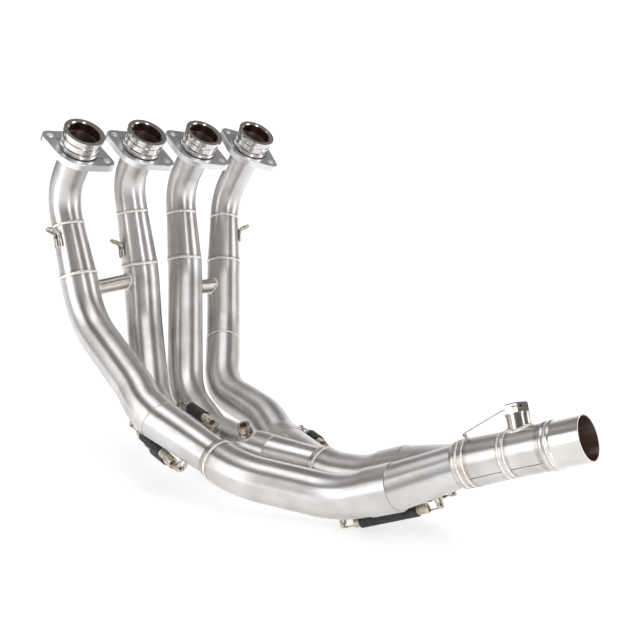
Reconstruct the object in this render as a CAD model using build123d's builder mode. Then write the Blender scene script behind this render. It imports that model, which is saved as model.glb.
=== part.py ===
from build123d import *
import os
from math import cos, radians, sin, tan

# Four-into-two-into-one exhaust header of an inline four, in millimetres.
# X runs rearward, Y along the row of cylinders, Z up.
# The origin is the centre of the sealing face of port 1.

os.makedirs("parts", exist_ok=True)

# Ports
cylinder_pitch = 88.0
port_count = 4
port_lean = 50.3
port_bore = 38.2

# Port collars, turned
collar_lip_od = 50.8
collar_lip_height = 3.6
collar_neck_od = 46.4
collar_band_od = 47.8
collar_groove_od = 44.6
collar_groove_width = 1.2
collar_band_height = 7.0
collar_rim_od = 49.0
lip_to_flange = 25.1
lip_chamfer = 1.3

# Loose port flanges, machined
flange_thickness = 9.0
flange_centre_od = 65.0
flange_ear_radius = 9.8
stud_pitch = 73.4
stud_hole = 9.0
wire_hole = 2.6
wire_hole_inset = 8.2
counterbore_depth = 3.5
counterbore_gap = 2.0
flange_pipe_gap = 0.9
flange_edge = 0.8
flange_turns = [41.6, 45.6, 47.3, 61.0]

# Tubes
tube_wall = 1.4
bend_od = 40.5
primary_od = 46.5
secondary_od = 48.0
outlet_od = 45.5
bend_radius = 55.0
socket_depth = 13.0

# Slip joints
slip_gap = 0.15
sleeve_wall = 1.2
primary_sleeve = 17.0
secondary_sleeve = 29.0
inlet_gap = 4.0
final_inlet_gap = 2.0
sleeve_flare = 0.7
mitre_share = 1.1
stub_length = 10.0
stub_ramp = 5.0
stub_lap = 3.5
stub_lip = 0.6
merge_step = 2.8
merge_wall = 1.4

# How far each port axis runs to the corner of its bend, and where its cone ends
bend_reach = [100.0, 79.0, 95.0, 119.0]
cone_end = [Vector(-29, -1, -177), Vector(-31, 90, -170), Vector(-36, 164, -170), Vector(-46, 238, -181)]

# Straight run from each bend to its cone, and from the cone to the next bend
weld_runs = [10.0, 17.0, 9.0, 0.5]
straight_runs = [58.6, 15.0, 20.5, 19.0]

# Further corners and the bend radii of the lower primaries, down to the run into the collector
lower_corners = [
    [Vector(111.4, -8.1, -296.5)],
    [Vector(-6.7, 78.9, -244.7), Vector(73.1, 36.1, -334.6)],
    [Vector(53.0, 98.7, -332.5), Vector(135.0, 80.6, -360.5)],
    [Vector(-4.2, 204.7, -264.1), Vector(64.1, 149.7, -330.7), Vector(159.8, 144.6, -346.5)],
]
lower_radii = [[90, 130, 90], [100, 90, 90, 70], [100, 85, 85, 60], [100, 75, 80, 100, 60]]
mouth_runs = [28.0, 26.0, 36.0, 26.0]

# Two-into-one collectors
left_exit = Vector(243.7, 13.4, -356.7)
left_axis = Vector(0.979, 0.03, -0.202).normalized()
left_spread = Vector(-0.148, 0.785, -0.602)
left_length = 98.0
left_stagger = 9.0
right_exit = Vector(309.1, 107.9, -369.7)
right_axis = Vector(0.9945, 0.078, -0.07).normalized()
right_spread = Vector(-0.08, 0.985, -0.13)
right_length = 72.0
right_stagger = 20.0

# Outlet line, from the final collector to the end that the silencer slips on
outlet_end = Vector(614, 153, -275)
outlet_axis = Vector(0.904, 0.225, 0.363).normalized()
outlet_roll = 8.5
final_length = 80.5
final_stagger = 10.3
final_exit_od = 48.5
weld_station = 127.0
cone_land = 7.0
neck_station = 82.0
neck_band = 5.0
neck_band_od = 46.4
bead_station = 37.5
bead_height = 1.0
bead_half_width = 2.2
slip_station = 32.0
slip_od = 45.0
slip_lip_od = 47.6
slip_lip_length = 3.0

# Corners and bend radii of the secondaries
left_exit_run = 35.0
left_mouth_run = 40.0
left_radii = [110, 100]
right_exit_run = 20.0
right_mouth_run = 24.0
right_radii = [80, 80]

# Balance tubes between neighbouring primaries
balance_od = 19.5
balance_wall = 1.5
balance_heights = {(0, 1): [-196.0, -188.0], (2, 3): [-207.0, -211.0]}

# Sensor boss and its plug on the outlet tube
sensor_station = 65.0
sensor_roll = 16.0
boss_od = 23.0
boss_thread = 18.0
boss_top = 35.0
plug_shank = 11.0
plug_flats = 22.0
plug_head = 9.5
plug_washer_od = 24.6
plug_washer = 1.6
plug_chamfer = 1.2
plug_wire_hole = 2.0
plug_wire_offset = 8.4

# Test boss and its socket plug on primary 3
side_boss_run = 27.0
side_boss_tilt = 26.0
side_boss_od = 17.0
side_boss_thread = 10.0
side_boss_height = 5.0
side_plug_od = 14.5
side_plug_head = 9.0
side_plug_socket = 8.0
side_plug_socket_depth = 6.0

# Springs that hold the slip joints together: lugs, coils and rubber sleeves
lug_rod = 3.5
lug_gap = 10.0
lug_sink = 1.1
lug_bend = 2.6
coil_od = 11.0
coil_wire = 2.0
coil_groove = 0.6
coil_bore = 7.0
coil_cap = 1.8
coil_eye = 3.0
hook_run = 13.0
hook_tail = 1.5
hook_gap = 0.15
hook_bend = 2.7
hose_wall = 1.3
hose_share = 0.54
long_hose_share = 0.76
first_coils = 4

# Each spring: inlet, how far before it one lug stands and its roll round the pipe,
# how far past it the other lug stands and its roll round the branch, height of both lugs
spring_places = [
    (0, 30.0, 172.0, 54.0, 165.0, 11.5),
    (1, 32.0, 135.0, 46.0, 140.0, 10.5),
    (1, 24.0, -30.0, 70.0, -30.0, 9.0),
    (2, 30.0, 170.0, 36.0, 170.0, 9.2),
    (3, 26.0, -80.0, 42.0, -80.0, 9.0),
    (4, 70.0, 195.0, 36.0, 192.0, 12.0),
    (5, 42.0, -150.0, 44.0, -150.0, 12.0),
]

# Rod hooks on three cones: height above the cone's end and the way they face
hook_rod = 4.0
hook_spread = 8.0
hook_leg = 16.0
hook_lift = 6.0
hook_reach = 12.0
hook_seat = 1.4
hook_places = {0: (38.0, Vector(0.27, -0.963, 0)), 1: (12.0, Vector(-0.065, -0.995, 0)), 3: (33.0, Vector(0.6, 0.8, 0))}

# Lock wire from a tab on the outlet cone to the sensor plug
tab_rod = 2.4
tab_gap = 7.0
tab_reach = 4.5
tab_roll = 8.0
tab_station = 118.0
lock_wire_od = 1.4
lock_wire_lead = 3.0

PORT_AXIS = Vector(cos(radians(port_lean)), 0, sin(radians(port_lean)))
PORT_DOWN = Vector(sin(radians(port_lean)), 0, -cos(radians(port_lean)))
ROW = Vector(0, 1, 0)
UP = Vector(0, 0, 1)
lips = [ROW * (cylinder_pitch * i) for i in range(port_count)]
collar_base = lip_to_flange + counterbore_depth


def squared(direction, axis):
    """The part of a direction that stands square to an axis."""
    return (direction - axis * direction.dot(axis)).normalized()


def section(origin, axis, side):
    """Plane through an axis: its x runs along side, its y along the axis."""
    return Plane(origin=origin, x_dir=side, z_dir=side.cross(axis))


def across(origin, axis, side=ROW):
    """Plane square to an axis."""
    return Plane(origin=origin, x_dir=squared(side, axis), z_dir=axis)


def turned(points, origin, axis, side):
    """A turned piece: its half section holds radius and height along the axis."""
    with BuildPart() as piece:
        with BuildSketch(section(origin, axis, side)):
            with BuildLine():
                Polyline(*points, close=True)
            make_face()
        revolve(axis=Axis(origin, axis))
    return piece.part


def bent_path(points, radii):
    """Straight runs joined by tangent arcs."""
    with BuildLine() as path:
        if radii:
            FilletPolyline(*points, radius=radii)
        else:
            Line(*points)
    return path.line


def swept(points, radii, od, bore=0):
    """A bent tube, or a bar where the bore is 0."""
    path = bent_path(points, radii)
    heading = path % 0
    start = across(path @ 0, heading, ROW if abs(heading.Y) < 0.9 else UP)
    with BuildPart() as tube:
        with BuildSketch(start):
            Circle(od / 2)
            if bore:
                Circle(bore / 2, mode=Mode.SUBTRACT)
        sweep(path=path)
    return tube.part


def tapered(start, start_d, end, end_d):
    """A solid that runs from a circle in one plane to a circle in another."""
    with BuildPart() as taper:
        with BuildSketch(start):
            Circle(start_d / 2)
        with BuildSketch(end):
            Circle(end_d / 2)
        loft(ruled=True)
    return taper.part


def rod(start, end, od):
    """A straight round bar between two points."""
    axis = (end - start).normalized()
    side = ROW if abs(axis.Y) < 0.9 else UP
    with BuildPart() as bar:
        with BuildSketch(across(start, axis, side)):
            Circle(od / 2)
        extrude(amount=(end - start).length)
    return bar.part


def around(axis, roll):
    """Direction square to an axis, turned by a roll from straight up."""
    return squared(UP, axis).rotate(Axis((0, 0, 0), axis), roll)


def staple(foot, out, cross, gap, reach, sink, od):
    """A bent rod with two legs and a crossbar that stands off the surface under it."""
    side = cross * (gap / 2)
    points = [foot - side - out * sink, foot - side + out * reach, foot + side + out * reach, foot + side - out * sink]
    return swept(points, [lug_bend, lug_bend], od)


def save(part, name):
    part.label = name
    export_step(part, f"parts/{name}.step")


# Port collars: a flat sealing lip, a neck with two grooves and a rim that the flange presses on
neck_top = collar_lip_height + (collar_lip_od - collar_neck_od) / 2
groove_1 = neck_top + collar_band_height * 0.45
groove_2 = groove_1 + collar_groove_width + collar_band_height
collar_points = [
    (port_bore / 2, -lip_chamfer),
    (port_bore / 2 + lip_chamfer, 0),
    (collar_lip_od / 2, 0),
    (collar_lip_od / 2, -collar_lip_height),
    (collar_neck_od / 2, -neck_top),
    (collar_neck_od / 2, -groove_1),
    (collar_groove_od / 2, -groove_1),
    (collar_groove_od / 2, -groove_1 - collar_groove_width),
    (collar_band_od / 2, -groove_1 - collar_groove_width),
    (collar_band_od / 2, -groove_2),
    (collar_groove_od / 2, -groove_2),
    (collar_groove_od / 2, -groove_2 - collar_groove_width),
    (collar_rim_od / 2, -groove_2 - collar_groove_width - flange_edge),
    (collar_rim_od / 2, -collar_base),
    (bend_od / 2, -collar_base),
    (bend_od / 2, -socket_depth),
    (port_bore / 2, -socket_depth),
]
for i, lip in enumerate(lips):
    save(turned(collar_points, lip, PORT_AXIS, ROW), f"collar_{i + 1}")

# Port flanges: a rounded lozenge, counterbored for the collar rim
flange_bore = bend_od + 2 * flange_pipe_gap
counterbore_od = collar_rim_od + 2 * counterbore_gap
for i, lip in enumerate(lips):
    turn = radians(flange_turns[i])
    stud_line = ROW * cos(turn) + PORT_DOWN * sin(turn)
    top = Plane(origin=lip - PORT_AXIS * lip_to_flange, x_dir=stud_line, z_dir=PORT_AXIS)
    with BuildPart() as flange:
        with BuildSketch(top):
            Circle(flange_centre_od / 2)
            with GridLocations(stud_pitch, 0, 2, 1):
                Circle(flange_ear_radius)
            make_hull()
        extrude(amount=-flange_thickness)
        chamfer(flange.faces().sort_by(Axis(lip, PORT_AXIS))[-1].edges(), flange_edge)
        with BuildSketch(top):
            Circle(flange_bore / 2)
            with GridLocations(stud_pitch, 0, 2, 1):
                Circle(stud_hole / 2)
            with GridLocations(stud_pitch - 2 * wire_hole_inset, 0, 2, 1):
                Circle(wire_hole / 2)
        extrude(amount=-flange_thickness, mode=Mode.SUBTRACT)
        with BuildSketch(top):
            Circle(counterbore_od / 2)
        extrude(amount=-counterbore_depth, mode=Mode.SUBTRACT)
    save(flange.part, f"flange_{i + 1}")

# Upper bends: from the socket in the collar round to the weld with the cone
bend_ends = []
cone_dirs = []
for i, lip in enumerate(lips):
    corner = lip - PORT_AXIS * bend_reach[i]
    down = (cone_end[i] - corner).normalized()
    turn = radians((PORT_AXIS * -1).get_angle(down))
    weld = corner + down * (bend_radius * tan(turn / 2) + weld_runs[i])
    start = lip - PORT_AXIS * socket_depth
    bend = swept([start, corner, weld], [bend_radius], bend_od, bend_od - 2 * tube_wall)
    save(bend, f"upper_bend_{i + 1}")
    bend_ends.append(weld)
    cone_dirs.append(down)


# Collectors: two inlets, each with the sleeve that a pipe slips into, run together into one outlet
def inlets(exit_point, axis, spread, length, pitch, stagger):
    """Ends of the two inlets, the near one downstream of the far one by the stagger."""
    middle = exit_point - axis * length
    side = squared(spread, axis) * (pitch / 2)
    step = axis * (stagger / 2)
    return [middle - side + step, middle + side - step]


def mitre(diameter, bend):
    """How far a round piece runs past a kink to close its outer side."""
    return mitre_share * diameter / 2 * tan(radians(bend) / 2)


def stub(merge, axis, start_d, end_d):
    """The round outlet of a collector: a short ramp, then a straight run to the weld."""
    points = [
        (0, 0),
        (start_d / 2 + stub_lip, 0),
        (end_d / 2, stub_ramp),
        (end_d / 2, stub_length),
        (0, stub_length),
    ]
    return turned(points, merge, axis, squared(ROW, axis))


def branch(mouth, direction, target, axis, start_d, end_d):
    """A cone from an inlet to its target inside the stub, where it is cut square to the axis."""
    along = (target - mouth).normalized()
    past = end_d / 2
    tip_d = end_d - (start_d - end_d) * past / (target - mouth).length
    start = across(mouth - along * mitre(start_d, direction.get_angle(along)), along)
    end = across(target + along * past, along)
    with BuildPart() as piece:
        with BuildSketch(start):
            Circle(start_d / 2)
        with BuildSketch(end):
            Circle(tip_d / 2)
        loft()
        split(bisect_by=Plane(origin=target, z_dir=axis), keep=Keep.BOTTOM)
    return piece.part


def collector(mouths, directions, exit_point, axis, exit_od, pipe_od, sleeve):
    """Sleeves and tapering branches that meet in a saddle and share one outlet."""
    socket = pipe_od + 2 * slip_gap
    sleeve_od = socket + 2 * sleeve_wall
    branch_od = sleeve_od - 2 * sleeve_flare
    bore = pipe_od - 2 * tube_wall
    merge = exit_point - axis * stub_length
    target = merge + axis * stub_lap
    merge_od = exit_od - 2 * merge_step
    merge_bore = merge_od - 2 * merge_wall
    outers = [stub(merge, axis, merge_od, exit_od)]
    inners = [stub(merge, axis, merge_bore, exit_od - 2 * tube_wall)]
    for mouth, direction in zip(mouths, directions):
        start = mouth - direction * sleeve
        past = mouth + direction * mitre(sleeve_od, direction.get_angle(target - mouth))
        outers.append(rod(start, past, sleeve_od))
        outers.append(branch(mouth, direction, target, axis, branch_od, merge_od))
        inners.append(rod(start, mouth, socket))
        inners.append(branch(mouth, direction, target, axis, bore, merge_bore))
    with BuildPart() as body:
        for piece in outers:
            add(piece)
        for piece in inners:
            add(piece, mode=Mode.SUBTRACT)
    return body.part


pitch = primary_od + inlet_gap
left_mouths = inlets(left_exit, left_axis, left_spread, left_length, pitch, left_stagger)
right_mouths = inlets(right_exit, right_axis, right_spread, right_length, pitch, right_stagger)
mouths = left_mouths + right_mouths
exits = [left_exit, left_exit, right_exit, right_exit]
mouth_dirs = []
for i, mouth in enumerate(mouths):
    coming = (mouth - lower_corners[i][-1]).normalized()
    going = (exits[i] - mouth).normalized()
    mouth_dirs.append((coming + going).normalized())

joint = (secondary_od, primary_od, primary_sleeve)
left_body = collector(left_mouths, mouth_dirs[:2], left_exit, left_axis, *joint)
right_body = collector(right_mouths, mouth_dirs[2:], right_exit, right_axis, *joint)
save(left_body, "collector_left")
save(right_body, "collector_right")

# Lower primaries: bent down and rearward into their collector
lower_paths = []
lower_solids = []
for i in range(port_count):
    last = mouths[i] - mouth_dirs[i] * mouth_runs[i]
    first = cone_end[i] + cone_dirs[i] * straight_runs[i]
    points = [cone_end[i], first] + lower_corners[i] + [last, mouths[i]]
    lower_paths.append((points, lower_radii[i]))
    lower_solids.append(swept(points, lower_radii[i], primary_od))

# Balance tubes: coped to the two primaries, which are open to them
def at_height(points, height):
    """Point of a pipe's line of corners at a height."""
    for start, end in zip(points, points[1:]):
        if end.Z <= height <= start.Z:
            return start + (end - start) * ((height - start.Z) / (end.Z - start.Z))


balance_lines = {}
for (near, far), heights in balance_heights.items():
    a = at_height(lower_paths[near][0], heights[0])
    b = at_height(lower_paths[far][0], heights[1])
    balance_lines[(near, far)] = (a, b)
    with BuildPart() as balance:
        add(rod(a, b, balance_od))
        add(rod(a, b, balance_od - 2 * balance_wall), mode=Mode.SUBTRACT)
        add(lower_solids[near], mode=Mode.SUBTRACT)
        add(lower_solids[far], mode=Mode.SUBTRACT)
    save(balance.part, f"balance_tube_{near + 1}{far + 1}")

# Test boss on primary 3, square to its run into the collector
test_axis = mouth_dirs[2]
test_foot = mouths[2] - test_axis * side_boss_run
test_up = squared(UP, test_axis)
test_side = test_axis.cross(test_up)
test_dir = test_up * cos(radians(side_boss_tilt)) + test_side * sin(radians(side_boss_tilt))
test_top = test_foot + test_dir * (primary_od / 2 + side_boss_height)
with BuildPart() as test_boss:
    add(rod(test_foot, test_top, side_boss_od))
    add(rod(test_foot, test_top, side_boss_thread), mode=Mode.SUBTRACT)
    add(lower_solids[2], mode=Mode.SUBTRACT)
save(test_boss.part, "test_boss")

for i in range(port_count):
    points, radii = lower_paths[i]
    with BuildPart() as pipe:
        add(lower_solids[i])
        add(swept(points, radii, primary_od - 2 * tube_wall), mode=Mode.SUBTRACT)
        for (near, far), (a, b) in balance_lines.items():
            if i in (near, far):
                add(rod(a, b, balance_od - 2 * balance_wall), mode=Mode.SUBTRACT)
        if i == 2:
            add(rod(test_foot, test_top, side_boss_thread), mode=Mode.SUBTRACT)
    save(pipe.part, f"lower_pipe_{i + 1}")

# Cones: they open each tube from the bend's size to the primary's
for i in range(port_count):
    start = across(bend_ends[i], cone_dirs[i])
    end = across(cone_end[i], cone_dirs[i])
    cone_solid = tapered(start, bend_od, end, primary_od)
    with BuildPart() as cone:
        add(cone_solid)
        add(tapered(start, bend_od - 2 * tube_wall, end, primary_od - 2 * tube_wall), mode=Mode.SUBTRACT)
    save(cone.part, f"cone_{i + 1}")
    if i in hook_places:
        height, facing = hook_places[i]
        up = cone_dirs[i] * -1
        out = squared(facing, up)
        across_legs = out.cross(up) * (hook_spread / 2)
        slope = (primary_od - bend_od) / 2 / (cone_end[i] - bend_ends[i]).length
        low = cone_end[i] + up * height + out * (primary_od / 2 - slope * height + hook_seat)
        high = low + (up - out * slope) * hook_leg
        tip = high + up * hook_lift + out * hook_reach
        legs = [low - across_legs, high - across_legs, tip - across_legs]
        legs += [tip + across_legs, high + across_legs, low + across_legs]
        with BuildPart() as hook:
            add(swept(legs, [hook_lift, hook_spread * 0.47, hook_spread * 0.47, hook_lift], hook_rod))
            add(cone_solid, mode=Mode.SUBTRACT)
        save(hook.part, f"hook_{i + 1}")

# Final collector and secondaries
final_exit = outlet_end - outlet_axis * weld_station
level = UP.cross(outlet_axis).normalized()
rise = outlet_axis.cross(level)
final_spread = level * cos(radians(outlet_roll)) + rise * sin(radians(outlet_roll))
final_pitch = secondary_od + final_inlet_gap
final_mouths = inlets(final_exit, outlet_axis, final_spread, final_length, final_pitch, final_stagger)
joint = (final_exit_od, secondary_od, secondary_sleeve)
final_dirs = [outlet_axis, outlet_axis]
final_body = collector(final_mouths, final_dirs, final_exit, outlet_axis, *joint)
save(final_body, "final_collector")

left_points = [
    left_exit,
    left_exit + left_axis * left_exit_run,
    final_mouths[0] - outlet_axis * (secondary_sleeve + left_mouth_run),
    final_mouths[0],
]
right_points = [
    right_exit,
    right_exit + right_axis * right_exit_run,
    final_mouths[1] - outlet_axis * (secondary_sleeve + right_mouth_run),
    final_mouths[1],
]
left_pipe = swept(left_points, left_radii, secondary_od, secondary_od - 2 * tube_wall)
right_pipe = swept(right_points, right_radii, secondary_od, secondary_od - 2 * tube_wall)
save(left_pipe, "secondary_left")
save(right_pipe, "secondary_right")

# Springs: each joins a lug on a pipe to a lug on the collector that the pipe slips into
inlet_points = mouths + final_mouths
inlet_paths = lower_paths + [(left_points, left_radii), (right_points, right_radii)]
inlet_pipes = lower_solids + [left_pipe, right_pipe]
inlet_bodies = [left_body, left_body, right_body, right_body, final_body, final_body]
inlet_ods = [primary_od] * 4 + [secondary_od] * 2
targets = [left_exit - left_axis * (stub_length - stub_lap)] * 2
targets += [right_exit - right_axis * (stub_length - stub_lap)] * 2
targets += [final_exit - outlet_axis * (stub_length - stub_lap)] * 2
exit_ods = [secondary_od] * 4 + [final_exit_od] * 2
hook_r = lug_rod / 2 + hook_gap + coil_wire / 2
for k, (i, before, roll_a, beyond, roll_b, reach) in enumerate(spring_places):
    going = (targets[i] - inlet_points[i]).normalized()
    length = (targets[i] - inlet_points[i]).length
    mouth_od = inlet_ods[i] + 2 * slip_gap + 2 * sleeve_wall - 2 * sleeve_flare
    branch_r = (mouth_od + (exit_ods[i] - 2 * merge_step - mouth_od) * beyond / length) / 2
    pipe_line = bent_path(*inlet_paths[i])
    station = 1 - before / sum(edge.length for edge in pipe_line.edges())
    out_a = around(pipe_line % station, roll_a)
    out_b = around(going, roll_b)
    foot_a = pipe_line @ station
    foot_a += out_a * (inlet_ods[i] / 2)
    foot_b = inlet_points[i] + going * beyond + out_b * branch_r
    bar_a = foot_a + out_a * reach
    bar_b = foot_b + out_b * reach
    pull = (bar_b - bar_a).normalized()
    with BuildPart() as lugs:
        for foot, out in ((foot_a, out_a), (foot_b, out_b)):
            add(staple(foot, out, squared(pull.cross(out), out), lug_gap, reach, lug_sink, lug_rod))
        add(inlet_pipes[i], mode=Mode.SUBTRACT)
        add(inlet_bodies[i], mode=Mode.SUBTRACT)
    save(lugs.part, f"lugs_{k + 1}")
    coil_length = (bar_b - bar_a).length - 2 * hook_run
    hose_length = coil_length * (long_hose_share if i == 4 else hose_share)
    hose_start = first_coils * coil_wire
    rib_r = coil_od / 2
    profile = [(coil_eye / 2, 0)]
    for turn in range(first_coils):
        profile.append((rib_r - coil_groove, turn * coil_wire))
        profile.append((rib_r, (turn + 0.5) * coil_wire))
    profile.append((rib_r - coil_groove, hose_start))
    profile.append((rib_r, hose_start))
    last_coils = int((coil_length - hose_start - hose_length) / coil_wire)
    hose_end = coil_length - last_coils * coil_wire
    profile.append((rib_r, hose_end))
    for turn in range(last_coils):
        profile.append((rib_r - coil_groove, hose_end + turn * coil_wire))
        profile.append((rib_r, hose_end + (turn + 0.5) * coil_wire))
    profile.append((rib_r - coil_groove, coil_length))
    profile.append((coil_eye / 2, coil_length))
    profile.append((coil_eye / 2, coil_length - coil_cap))
    profile.append((coil_bore / 2, coil_length - coil_cap))
    profile.append((coil_bore / 2, coil_cap))
    profile.append((coil_eye / 2, coil_cap))
    base = bar_a + pull * hook_run
    side = squared(out_a, pull)
    with BuildPart() as spring:
        add(turned(profile, base, pull, side))
        for bar, way, out in ((bar_a, pull, out_a), (bar_b, pull * -1, out_b)):
            lift = squared(out, pull) * hook_r
            points = [bar + way * (hook_run + coil_cap / 2) + lift, bar - way * hook_r + lift]
            points += [bar - way * hook_r - lift, bar + way * hook_tail - lift]
            add(swept(points, [hook_bend, hook_bend], coil_wire))
    save(spring.part, f"spring_{k + 1}")
    hose_points = [(rib_r, hose_start), (rib_r + hose_wall, hose_start), (rib_r + hose_wall, hose_end), (rib_r, hose_end)]
    save(turned(hose_points, base, pull, side), f"spring_sleeve_{k + 1}")

# Outlet cone, turned: a land at the weld, then a taper to the outlet tube
outlet_side = level
outlet_cone_points = [
    (final_exit_od / 2, -weld_station),
    (final_exit_od / 2, -weld_station + cone_land),
    (outlet_od / 2, -neck_station),
    (outlet_od / 2 - tube_wall, -neck_station),
    (final_exit_od / 2 - tube_wall, -weld_station + cone_land),
    (final_exit_od / 2 - tube_wall, -weld_station),
]
outlet_cone = turned(outlet_cone_points, outlet_end, outlet_axis, outlet_side)
save(outlet_cone, "outlet_cone")

# Outlet tube, with a band at its weld and a rolled bead before the slip end
bead_r = outlet_od / 2 + bead_height
inner_r = outlet_od / 2 - tube_wall
outlet_tube_points = [
    (outlet_od / 2, -neck_station),
    (neck_band_od / 2, -neck_station + tube_wall),
    (neck_band_od / 2, -neck_station + neck_band - tube_wall),
    (outlet_od / 2, -neck_station + neck_band),
    (outlet_od / 2, -bead_station - bead_half_width),
    (bead_r, -bead_station - bead_half_width / 3),
    (bead_r, -bead_station + bead_half_width / 3),
    (outlet_od / 2, -bead_station + bead_half_width),
    (outlet_od / 2, -slip_station),
    (inner_r, -slip_station),
    (inner_r, -neck_station),
]
sensor_foot = outlet_end - outlet_axis * sensor_station
sensor_dir = rise * cos(radians(sensor_roll)) + level * sin(radians(sensor_roll))
sensor_top = sensor_foot + sensor_dir * boss_top
with BuildPart() as outlet_tube:
    add(turned(outlet_tube_points, outlet_end, outlet_axis, outlet_side))
    add(rod(sensor_foot, sensor_top, boss_thread), mode=Mode.SUBTRACT)
save(outlet_tube.part, "outlet_tube")

# Outlet sleeve: the end that the silencer clamps on, with a flared lip
slip_points = [
    (slip_od / 2 - tube_wall, 0),
    (slip_od / 2, 0),
    (slip_od / 2, -slip_station + slip_lip_length),
    (slip_lip_od / 2, -slip_station + slip_lip_length / 2),
    (slip_lip_od / 2, -slip_station),
    (slip_od / 2 - tube_wall, -slip_station),
]
save(turned(slip_points, outlet_end, outlet_axis, outlet_side), "outlet_sleeve")

# Sensor boss, coped to the outlet tube
saddle = rod(outlet_end - outlet_axis * neck_station, outlet_end - outlet_axis * slip_station, outlet_od)
with BuildPart() as sensor_boss:
    add(rod(sensor_foot, sensor_top, boss_od))
    add(rod(sensor_foot, sensor_top, boss_thread), mode=Mode.SUBTRACT)
    add(saddle, mode=Mode.SUBTRACT)
save(sensor_boss.part, "sensor_boss")

# Sensor plug: a hexagon head drilled for lock wire, a washer face and the shank in the boss
head_side = squared(outlet_axis, sensor_dir)
head_bottom = sensor_top + sensor_dir * plug_washer
with BuildPart() as sensor_plug:
    add(rod(sensor_top, head_bottom, plug_washer_od))
    with BuildSketch(Plane(origin=head_bottom, x_dir=head_side, z_dir=sensor_dir)):
        RegularPolygon(radius=plug_flats / 2, side_count=6, major_radius=False)
    extrude(amount=plug_head)
    chamfer(sensor_plug.faces().sort_by(Axis(sensor_top, sensor_dir))[-1].edges(), plug_chamfer)
    add(rod(sensor_top - sensor_dir * plug_shank, sensor_top, boss_thread))
    hole_centre = head_bottom + sensor_dir * (plug_head * 0.6)
    for turn in range(3):
        corner_out = head_side.rotate(Axis((0, 0, 0), sensor_dir), 120 * turn)
        along = sensor_dir.cross(corner_out)
        middle = hole_centre + corner_out * plug_wire_offset
        add(rod(middle - along * plug_flats, middle + along * plug_flats, plug_wire_hole), mode=Mode.SUBTRACT)
save(sensor_plug.part, "sensor_plug")

# Test plug: a round head with a hexagon socket
test_head = test_top + test_dir * side_plug_head
with BuildPart() as test_plug:
    add(rod(test_top, test_head, side_plug_od))
    with BuildSketch(Plane(origin=test_head, x_dir=test_axis, z_dir=test_dir)):
        RegularPolygon(radius=side_plug_socket / 2, side_count=6, major_radius=False)
    extrude(amount=-side_plug_socket_depth, mode=Mode.SUBTRACT)
    add(rod(test_top - test_dir * side_boss_height, test_top, side_boss_thread))
save(test_plug.part, "test_plug")

# Wire tab on the outlet cone and the lock wire from it through a corner of the plug's head
tab_share = (weld_station - cone_land - tab_station) / (weld_station - cone_land - neck_station)
tab_r = (final_exit_od + (outlet_od - final_exit_od) * tab_share) / 2
tab_out = around(outlet_axis, tab_roll)
tab_foot = outlet_end - outlet_axis * tab_station + tab_out * tab_r
tab_bar = tab_foot + tab_out * tab_reach
hole_in = middle - along * (plug_flats / 2 + lock_wire_lead)
hole_out = middle + along * (plug_flats / 2)
wire_way = (hole_in - tab_bar).normalized()
with BuildPart() as wire_tab:
    add(staple(tab_foot, tab_out, squared(wire_way.cross(tab_out), tab_out), tab_gap, tab_reach, lug_sink, tab_rod))
    add(outlet_cone, mode=Mode.SUBTRACT)
save(wire_tab.part, "wire_tab")
wire_r = tab_rod / 2 + hook_gap + lock_wire_od / 2
wire_lift = squared(tab_out, wire_way) * wire_r
wire_points = [tab_bar + wire_way * hook_tail - wire_lift, tab_bar - wire_way * wire_r - wire_lift]
wire_points += [tab_bar - wire_way * wire_r + wire_lift, hole_in, hole_out]
save(swept(wire_points, [wire_r * 0.9, wire_r * 0.9, lock_wire_lead], lock_wire_od), "lock_wire")
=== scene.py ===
from math import cos, pi, radians, sin

import bpy
from mathutils import Matrix, Vector
from mathutils.bvhtree import BVHTree


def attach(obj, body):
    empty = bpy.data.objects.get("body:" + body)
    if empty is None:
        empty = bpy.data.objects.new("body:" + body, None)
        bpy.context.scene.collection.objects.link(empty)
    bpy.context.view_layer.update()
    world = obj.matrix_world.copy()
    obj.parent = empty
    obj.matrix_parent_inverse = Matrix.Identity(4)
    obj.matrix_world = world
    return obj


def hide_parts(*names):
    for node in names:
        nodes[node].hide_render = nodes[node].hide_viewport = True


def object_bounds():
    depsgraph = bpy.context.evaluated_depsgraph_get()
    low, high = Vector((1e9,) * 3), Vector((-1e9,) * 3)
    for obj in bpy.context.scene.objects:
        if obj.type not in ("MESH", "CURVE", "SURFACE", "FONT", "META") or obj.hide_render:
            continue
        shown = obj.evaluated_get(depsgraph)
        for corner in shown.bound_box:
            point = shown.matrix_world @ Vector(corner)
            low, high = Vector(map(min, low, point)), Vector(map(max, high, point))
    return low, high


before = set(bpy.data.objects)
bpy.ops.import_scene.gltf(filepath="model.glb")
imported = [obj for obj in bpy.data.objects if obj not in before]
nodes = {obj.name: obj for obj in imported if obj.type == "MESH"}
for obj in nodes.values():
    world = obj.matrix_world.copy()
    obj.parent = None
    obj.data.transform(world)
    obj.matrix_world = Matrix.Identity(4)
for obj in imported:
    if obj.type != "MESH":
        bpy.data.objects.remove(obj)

# Looks of a four-into-two-into-one exhaust header, in metres and in the frame of the CAD model.
# X runs rearward, Y along the row of ports, Z up, and the origin is the centre of port 1's face.

scene = bpy.context.scene
cad_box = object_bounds()
MM = 0.001
PIPES = range(4)


def mm(x, y, z):
    return Vector((x, y, z)) * MM


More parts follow.
